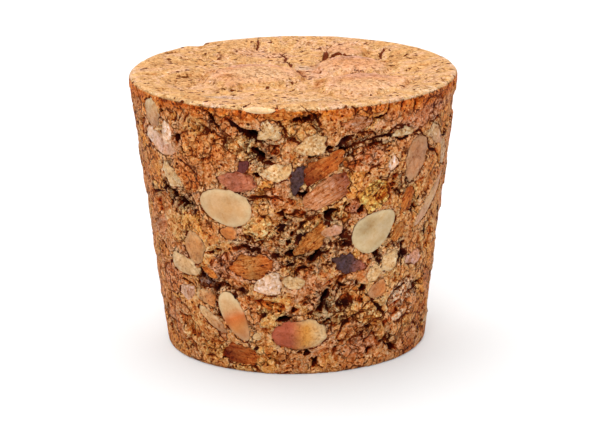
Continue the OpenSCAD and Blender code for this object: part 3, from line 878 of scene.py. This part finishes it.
def noiseNode(point, scale, detail=2, rough=0.5, twist=0, output="Fac"):
    inputs = {"Vector": point, "Scale": scale, "Detail": detail, "Roughness": rough, "Distortion": twist}
    return addNode("ShaderNodeTexNoise", inputs).outputs[output]


def cells(point, scale, feature="F1"):
    return addNode("ShaderNodeTexVoronoi", {"Vector": point, "Scale": scale}, feature=feature).outputs


def attribute(tree, name, output="Fac"):
    return addNode("ShaderNodeAttribute", {}, tree, attribute_name=name).outputs[output]


def useGroup(group, **inputs):
    return addNode("ShaderNodeGroup", inputs, node_tree=group).outputs


def startGroup(name, **inputs):
    tree = bpy.data.node_groups.new(name, "ShaderNodeTree")
    for socket, kind in inputs.items():
        tree.interface.new_socket(socket, in_out="INPUT", socket_type="NodeSocket" + kind)
    return tree, addNode("NodeGroupInput", {}, tree).outputs


def endGroup(tree, kind, **outputs):
    for socket in outputs:
        tree.interface.new_socket(socket, in_out="OUTPUT", socket_type="NodeSocket" + kind)
    addNode("NodeGroupOutput", outputs, tree)
    print(tree.name, "made")
    return tree


def makeCellGroup():
    # Cells with frayed edges, the distance from their edge, two values for each
    # and the height of its tilted face, all in millimetres
    tree, given = startGroup("corkCells", Point="Vector", Size="Float")
    point, size = given["Point"], given["Size"]
    density = mathNode("DIVIDE", 1, size)
    drift = noiseNode(point, product(density, 1.4), 3, output="Color")
    shift = vector("SUBTRACT", drift, (0.5, 0.5, 0.5))
    shift = addNode("ShaderNodeVectorMath", {0: shift, "Scale": product(size, 0.9)}, operation="SCALE")
    moved = vector("ADD", point, shift.outputs[0])
    cell = cells(moved, density)
    edge = cells(moved, density, "DISTANCE_TO_EDGE")["Distance"]
    away = vector("SUBTRACT", moved, cell["Position"])
    tilt = vector("SUBTRACT", cell["Color"], (0.5, 0.5, 0.5))
    tip = addNode("ShaderNodeVectorMath", {0: away, 1: tilt}, operation="DOT_PRODUCT").outputs["Value"]
    values = split(cell["Color"])
    edge = product(edge, size)
    return endGroup(tree, "Float", Edge=edge, Tone=values["Red"], Pick=values["Green"], Tip=tip)


def makeGrainGroup(cellGroup):
    # Fine cells and noise at three sizes, in millimetres, and how much lighter or
    # darker they make each point
    tree, given = startGroup("corkGrain", Point="Vector")
    point = given["Point"]
    cell = useGroup(cellGroup, Point=point, Size=0.46)
    edge, pick = cell["Edge"], cell["Pick"]
    dust, fine, mid = noiseNode(point, 3.7, 2, 0.6), noiseNode(point, 2, 3, 0.6), noiseNode(point, 1, 3, 0.6)

    # Pores, pale grains and short dark strokes
    pore = product(between(pick, 0.92, 0.94), between(edge, 0.03, 0.08))
    pale = product(below(pick, 0.08, 0.1), between(edge, 0.04, 0.1))
    stroke = 0
    for scale, thin in ((1.5, 0.02), (2.6, 0.03)):
        off = mathNode("ABSOLUTE", total(noiseNode(point, scale, 3, 0.5, 0.8), -0.5))
        patchy = between(noiseNode(point, 0.5 * scale), 0.48, 0.54)
        stroke = mathNode("MAXIMUM", stroke, product(below(off, 0.2 * thin, thin), patchy))
    grit = split(cells(point, 3.4)["Color"])
    speck = total(between(grit["Green"], 0.88, 0.9), (below(grit["Green"], 0.08, 0.1), -0.7))
    light = total(specks(dust, 1.8), spread(dust, 0.1), specks(fine, 0.6), spread(grit["Red"], 0.4),
                  (speck, -0.6), (pore, -0.4), (pale, 0.2), (stroke, -0.4))
    relief = total((between(edge, 0, 0.12), 0.08), (dust, 0.16), (fine, 0.14), (pore, -0.16), (stroke, -0.2),
                   (cell["Tip"], 0.5))
    return endGroup(tree, "Float", Edge=edge, Dust=dust, Fine=fine, Mid=mid, Pick=pick, Hue=grit["Blue"],
                    Light=light, Relief=relief)


def dyed(shade, hue, basis):
    # A colour that was mixed for one of the tones, turned to another hue
    return mixColour(1, shade, vector("DIVIDE", hue, tones[basis]), "MULTIPLY")


def makeShadeGroup():
    # Cork of a hue, from its darkest seam at 0 to its palest grain at 1
    tree, given = startGroup("corkShade", Value="Float", Hue="Color")
    shade = colourRamp(
        given["Value"], (0, 40, 6, 0), (0.18, 112, 38, 2), (0.34, 180, 84, 20), (0.5, 212, 124, 52),
        (0.66, 226, 146, 76), (0.84, 238, 172, 104), (1, 252, 206, 146))
    return endGroup(tree, "Color", Shade=dyed(shade, given["Hue"], "cork"))


def startMaterial(name):
    material = bpy.data.materials.new(name)
    material.use_nodes = True
    return material, material.node_tree


def endMaterial(material, finish, inputs):
    feed(material.node_tree.nodes["Principled BSDF"], {
        "Roughness": finish["roughness"], "Specular IOR Level": finish["specular"], **inputs})
    print(material.name, "made")
    return material


def millimetres(tree):
    place = addNode("ShaderNodeTexCoord", {}, tree).outputs["Object"]
    return vector("MULTIPLY", place, (1000, 1000, 1000))


def bumped(height):
    # A relief in millimetres
    return addNode("ShaderNodeBump", {"Height": height, "Strength": 1, "Distance": mm}).outputs["Normal"]


def mixCrust(tree, point, grain, rim):
    # The smoother crust of the wide end, its pores and its pits
    swirl = noiseNode(point, 0.13, 4, 0.5, 1.6)
    sandy = between(noiseNode(point, 0.12), 0.4, 0.6, 0.5, 1)
    swell, foot = attribute(tree, "swell"), attribute(tree, "foot")
    crest = between(swell, 0.5, 0.95)
    # The rim term darkens round each void, as painted shade
    value = total(
        0.52, (specks(grain["Dust"], 1.4), sandy), (grain["Light"], 0.3), spread(grain["Fine"], 0.06),
        spread(grain["Mid"], 0.1), (rim, -0.2), (attribute(tree, "rimLit"), 0.14), (crest, -0.05),
        (foot, -0.2))
    light = colourRamp(
        value, (0, 90, 38, 10), (0.2, 162, 98, 46), (0.38, 202, 144, 88), (0.52, 214, 162, 106),
        (0.7, 226, 180, 132), (1, 244, 214, 176))
    hue = colourRamp(
        swirl, (0.3, 216, 152, 90), (0.43, 224, 166, 102), (0.5, 228, 170, 122), (0.57, 222, 162, 98),
        (0.7, 216, 154, 94))
    hue = mixColour(product(crest, 0.55), hue, srgb(220, 142, 92))
    # Painted shade in the crease behind each lump: darker and browner
    hue = mixColour(product(foot, 0.7), hue, srgb(206, 128, 54))
    hue = mixColour(attribute(tree, "tint", "Alpha"), hue, attribute(tree, "tint", "Color"))
    colour = dyed(light, hue, "crust")
    # A pinkish painted highlight in a ring on each lump's crown
    crown = product(between(swell, 0.46, 0.6), below(swell, 0.7, 0.86))
    colour = mixColour(product(crown, 0.3), colour, srgb(238, 176, 140))

    # Pores, then pits of several sizes, which keep off the lumps; the pits are drawn dark as painted shade
    pore = product(between(grain["Pick"], 0.86, 0.88), between(grain["Edge"], 0.03, 0.08), sandy)
    wander = vector("MULTIPLY", noiseNode(point, 1.2, output="Color"), (1.4, 1.4, 1.4))
    pits = cells(vector("ADD", point, wander), 0.9)
    pick = split(pits["Color"])
    pitEdge = mathNode("SUBTRACT", pits["Distance"], between(pick["Green"], 0, 1, 0.1, 0.32))
    pit = product(below(pitEdge, -0.03, 0.03), between(pick["Red"], 0.36, 0.38), below(swell, 0.3, 0.6))
    colour = mixColour(product(pore, 0.6), colour, srgb(146, 80, 16))
    return mixColour(pit, colour, srgb(112, 46, 0)), pore, pit


bodyFinish = {"roughness": 0.55, "specular": 0.06}


def makeGroundCork(cellGroup, grainGroup, shadeGroup):
    material, tree = startMaterial("groundCork")
    point = millimetres(tree)
    grain = useGroup(grainGroup, Point=point)
    crust, band, crumbly, gappy, pocket, cavityShade, seam, seamWidth, crumbTone = (
        attribute(tree, name) for name in (
            "crust", "band", "crumbly", "gappy", "pocket", "cavityShade", "seam", "seamWidth", "crumbTone"))
    crust = between(total(crust, spread(grain["Mid"], 0.8)), 0.3, 0.7)
    sideways = mathNode("SUBTRACT", 1, crust)
    fray = total(spread(noiseNode(point, 2.6, 4, 0.7), 0.44), spread(grain["Dust"], 0.12))

    # Gaps between granules and between crumbs, which open into dark pockets; their dark colour, and the dark
    # lines round fine grains, are painted shade
    granuleEdge = total(attribute(tree, "granuleEdge"), fray, (gappy, -0.07))
    crumbEdge = total(attribute(tree, "crumbEdge"), (fray, 0.8), below(crumbly, 0.2, 0.5))
    gapEdge = total(mathNode("MINIMUM", granuleEdge, crumbEdge), (pocket, -0.14))
    opening = product(sideways, between(gappy, 0.05, 0.5, 0.15, 1))
    gap = product(below(gapEdge, -0.02, 0.06), opening)
    # A painted highlight along the edge beside each gap
    lipHighlight = product(between(gapEdge, 0.05, 0.1), below(gapEdge, 0.16, 0.3), opening)
    grainLine = product(below(grain["Edge"], 0, 0.06), scaled(crumbly, 0.85, 0.15))

    # Facets, with fine cracks between many of them, which are drawn dark as painted shade
    facet, chippy = (useGroup(cellGroup, Point=point, Size=size) for size in (1.5, 0.75))
    parted = between(noiseNode(point, 0.4, 3, 0.6), 0.4, 0.6)
    facetEdge = total(facet["Edge"], (fray, 0.5), (parted, -0.08))
    facetGap = product(below(facetEdge, -0.02, 0.04), parted, sideways)
    chippyEdge = total(chippy["Edge"], (fray, 0.4), (pocket, -0.08))
    chippyGap = product(below(chippyEdge, -0.01, 0.04), crumbly, sideways)
    fineGap = mathNode("MAXIMUM", facetGap, chippyGap)

    # Cracks and voids
    width = product(seamWidth, between(grain["Mid"], 0.3, 0.7, 0.5, 1.7))
    offset = mathNode("SUBTRACT", mathNode("ABSOLUTE", total(seam, fray)), width)
    crack = product(below(offset, -0.03, 0.03), between(seamWidth, 0.01, 0.05))
    hollow = total(attribute(tree, "hollow"), (fray, 0.7))
    hole = below(hollow, -0.06, 0.03)
    # rim is a band round each void, which the value darkens as painted shade
    rim = below(hollow, 0, 0.5)

    # Brightness, from the darkest seam to the palest grain, and hue
    # The cavity term is painted shade in hollows and painted light on what stands out
    value = total(
        0.73, (grain["Light"], scaled(crumbly, 0.3, 0.7)), (crumbly, 0.14), (band, -0.04),
        spread(grain["Mid"], 0.1), (fineGap, -0.16), spread(facet["Tone"], 0.06),
        spread(attribute(tree, "granuleTone"), 0.07), (spread(crumbTone, 0.16), crumbly),
        (spread(chippy["Tone"], 0.16), crumbly), (grainLine, -0.2), (lipHighlight, 0.12), (rim, -0.1),
        between(cavityShade, -0.1, 0.3, 0.12, -0.42))
    hue = colourRamp(
        attribute(tree, "granuleHue"), (0, 204, 118, 44), (0.2, 194, 118, 60), (0.4, 188, 110, 62),
        (0.6, 200, 126, 58), (0.8, 196, 124, 70), (1, 184, 98, 44))
    crumbHue = colourRamp(
        crumbTone, (0, 206, 120, 46), (0.3, 188, 110, 60), (0.6, 202, 130, 64), (0.8, 200, 132, 78),
        (1, 192, 104, 46))
    hue = mixColour(product(crumbly, 0.5), hue, crumbHue)
    hue = mixColour(attribute(tree, "tint", "Alpha"), hue, attribute(tree, "tint", "Color"))
    hue = mixColour(product(band, between(grain["Mid"], 0.35, 0.6, 0.6, 1)), hue, srgb(196, 94, 22))
    hue = mixColour(between(grain["Hue"], 0.3, 1, 0, 0.4), hue, srgb(206, 122, 72))
    side = useGroup(shadeGroup, Value=value, Hue=hue)["Shade"]
    # Painted shade: darker and redder where the surface lies in a hollow
    side = mixColour(between(cavityShade, -0.14, 0.1), side, (0.96, 0.84, 0.68), "MULTIPLY")
    side = mixColour(between(cavityShade, -0.03, 0.26), side, (0.62, 0.22, 0.05), "MULTIPLY")
    # Painted shade in the fine cracks between facets and crumbs
    side = mixColour(product(fineGap, 0.7), side, srgb(82, 20, 0))
    # Painted shade in the gaps, darkest in the pockets
    side = mixColour(gap, side, mixColour(pocket, srgb(104, 32, 4), srgb(48, 4, 0)))

    # The crust over the side, and cracks and voids through both, drawn dark as painted shade
    top, pore, pit = mixCrust(tree, point, grain, rim)
    colour = mixColour(crust, side, top)
    crackShade = mixColour(crust, srgb(48, 6, 0), srgb(110, 42, 0))
    crackShade = mixColour(between(seamWidth, 0.06, 0.2), srgb(116, 38, 8), crackShade)
    colour = mixColour(crack, colour, crackShade)
    # Painted shade in voids, darkest where they are deepest
    holeShade = mixColour(between(hollow, -0.5, -0.1), srgb(22, 3, 0), srgb(88, 22, 3))
    colour = mixColour(hole, colour, mixColour(crust, holeShade, srgb(122, 58, 6)))
    height = total(
        (between(gapEdge, -0.06, 0.14, -0.16, 0), opening), (facet["Tip"], sideways, 0.3),
        (chippy["Tip"], crumbly, sideways, 0.6), (fineGap, -0.24),
        (total(grain["Relief"], -0.23), scaled(crust, -0.65, 1)), (pore, crust, -0.1), (pit, crust, -0.2),
        (crack, -0.2), (hole, -0.25))
    return endMaterial(material, bodyFinish, {"Base Color": colour, "Normal": bumped(height)})


def makeChipCork(name, finish, grainGroup, shadeGroup):
    material, tree = startMaterial(name)
    point = millimetres(tree)
    tint, dusty = attribute(tree, "tint", "Color"), attribute(tree, "dusty")
    grain = useGroup(grainGroup, Point=point)
    grainy = scaled(dusty, 0.45, 0.06)
    lines = noiseNode(vector("MULTIPLY", attribute(tree, "place", "Vector"), (0.4, 2.8, 1)), 1, 3, 0.6, 0.3)
    value = total(0.56, (grain["Light"], grainy), spread(lines, finish["lined"]),
                  spread(noiseNode(point, 0.6, 3, 0.55), 0.24),
                  (spread(grain["Mid"], 1), scaled(grainy, 1.2, 0.04)))
    warmth = vector("MULTIPLY", tint, (0.8, 0.8, 1))
    colour = useGroup(shadeGroup, Value=value, Hue=warmth)["Shade"]

    # A painted highlight along the edge, on light and clean chips most
    rim = total(attribute(tree, "rim"), spread(grain["Mid"], 0.6))
    pale = product(between(split(tint)["Green"], 0.12, 0.32), finish["edgeHighlight"], scaled(dusty, -1.2, 1))
    colour = mixColour(product(between(rim, 0.5, 1.1), pale), colour, srgb(236, 214, 168))
    height = total((grain["Relief"], grainy), (lines, 0.5 * finish["lined"]))
    return endMaterial(material, finish, {"Base Color": colour, "Normal": bumped(height)})


# Camera, floor and light
studio = {
    "distance": 399.7,
    "elevation": 15.47,
    "roll": -0.761,
    "lens": 177.4,
    "aim": 18.51,
    "shift": (0.00865, -0.0124),
    "floor": (0.6, 0.6, 0.6, 1),
    "floorFinish": {"roughness": 0.9, "specular": 0},
    "floorGlow": 0.25,
    "world": 0.5,
    "lamps": (  # name, place, size and power
        ("above", (-0.08, 0.25, 0.9), 0.9, 9.2),
        ("front", (-0.1, -0.8, 0.7), 0.35, 3.6),
        ("left", (-0.75, -0.45, 0.5), 0.8, 1),
        ("right", (0.75, -0.4, 0.5), 0.8, 1.4),
    ),
}


def setCamera():
    cam = bpy.data.cameras.new("camera")
    camera = bpy.data.objects.new("camera", cam)
    bpy.context.scene.collection.objects.link(camera)
    bpy.context.scene.camera = camera
    rise = math.radians(studio["elevation"])
    camera.location = (0, -studio["distance"] * math.cos(rise) * mm,
                       (studio["aim"] + studio["distance"] * math.sin(rise)) * mm)
    camera.rotation_euler = (math.pi / 2 - rise, 0, 0)
    camera.rotation_euler.rotate_axis("Z", math.radians(studio["roll"]))
    cam.lens = studio["lens"]
    cam.sensor_width = 36
    cam.shift_x, cam.shift_y = studio["shift"]
    cam.clip_start, cam.clip_end = 0.01, 10
    print("camera set")


def setStage():
    startPiece()
    bpy.ops.mesh.primitive_plane_add(size=6, location=(0, 0, 0))
    floor = bpy.context.object
    floor.name = "floor"
    material, tree = startMaterial("paleFloor")
    seen = addNode("ShaderNodeLightPath", {}, tree).outputs["Is Camera Ray"]
    floor.data.materials.append(endMaterial(material, studio["floorFinish"], {
        "Base Color": studio["floor"], "Emission Color": (1, 1, 1, 1),
        "Emission Strength": product(seen, studio["floorGlow"])}))
    world = bpy.context.scene.world or bpy.data.worlds.new("World")
    bpy.context.scene.world = world
    world.use_nodes = True
    seen = addNode("ShaderNodeLightPath", {}, world.node_tree).outputs["Is Camera Ray"]
    strength = scaled(seen, 1 - studio["world"], studio["world"])
    feed(world.node_tree.nodes["Background"], {"Color": (1, 1, 1, 1), "Strength": strength})
    for name, place, size, power in studio["lamps"]:
        lamp = bpy.data.lights.new(name, "AREA")
        lamp.size = size
        lamp.energy = power
        light = bpy.data.objects.new(name, lamp)
        light.location = place
        light.rotation_euler = (Vector((0, 0, 0.02)) - Vector(place)).to_track_quat("-Z", "Y").to_euler()
        bpy.context.scene.collection.objects.link(light)
    print("floor, world and", len(studio["lamps"]), "lamps set")


setCamera()
setStage()
bpy.context.scene.view_settings.view_transform = "Standard"
cellGroup = makeCellGroup()
grainGroup = makeGrainGroup(cellGroup)
shadeGroup = makeShadeGroup()
groundCork = makeGroundCork(cellGroup, grainGroup, shadeGroup)
smoothCork = makeChipCork("smoothChip", smoothFinish, grainGroup, shadeGroup)
barkCork = makeChipCork("bark", barkFinish, grainGroup, shadeGroup)
buildBody(groundCork)
rimMark = (rimChip["angle"], None, rimChip["length"], rimChip["width"], 0, 0,
           rimChip["ragged"], rimChip["tone"])
buildChips("smoothChips", [*smoothMarks, (rimChip["seed"], rimMark)], smoothFinish, smoothCork)
buildChips("barkGranules", barkMarks, barkFinish, barkCork)
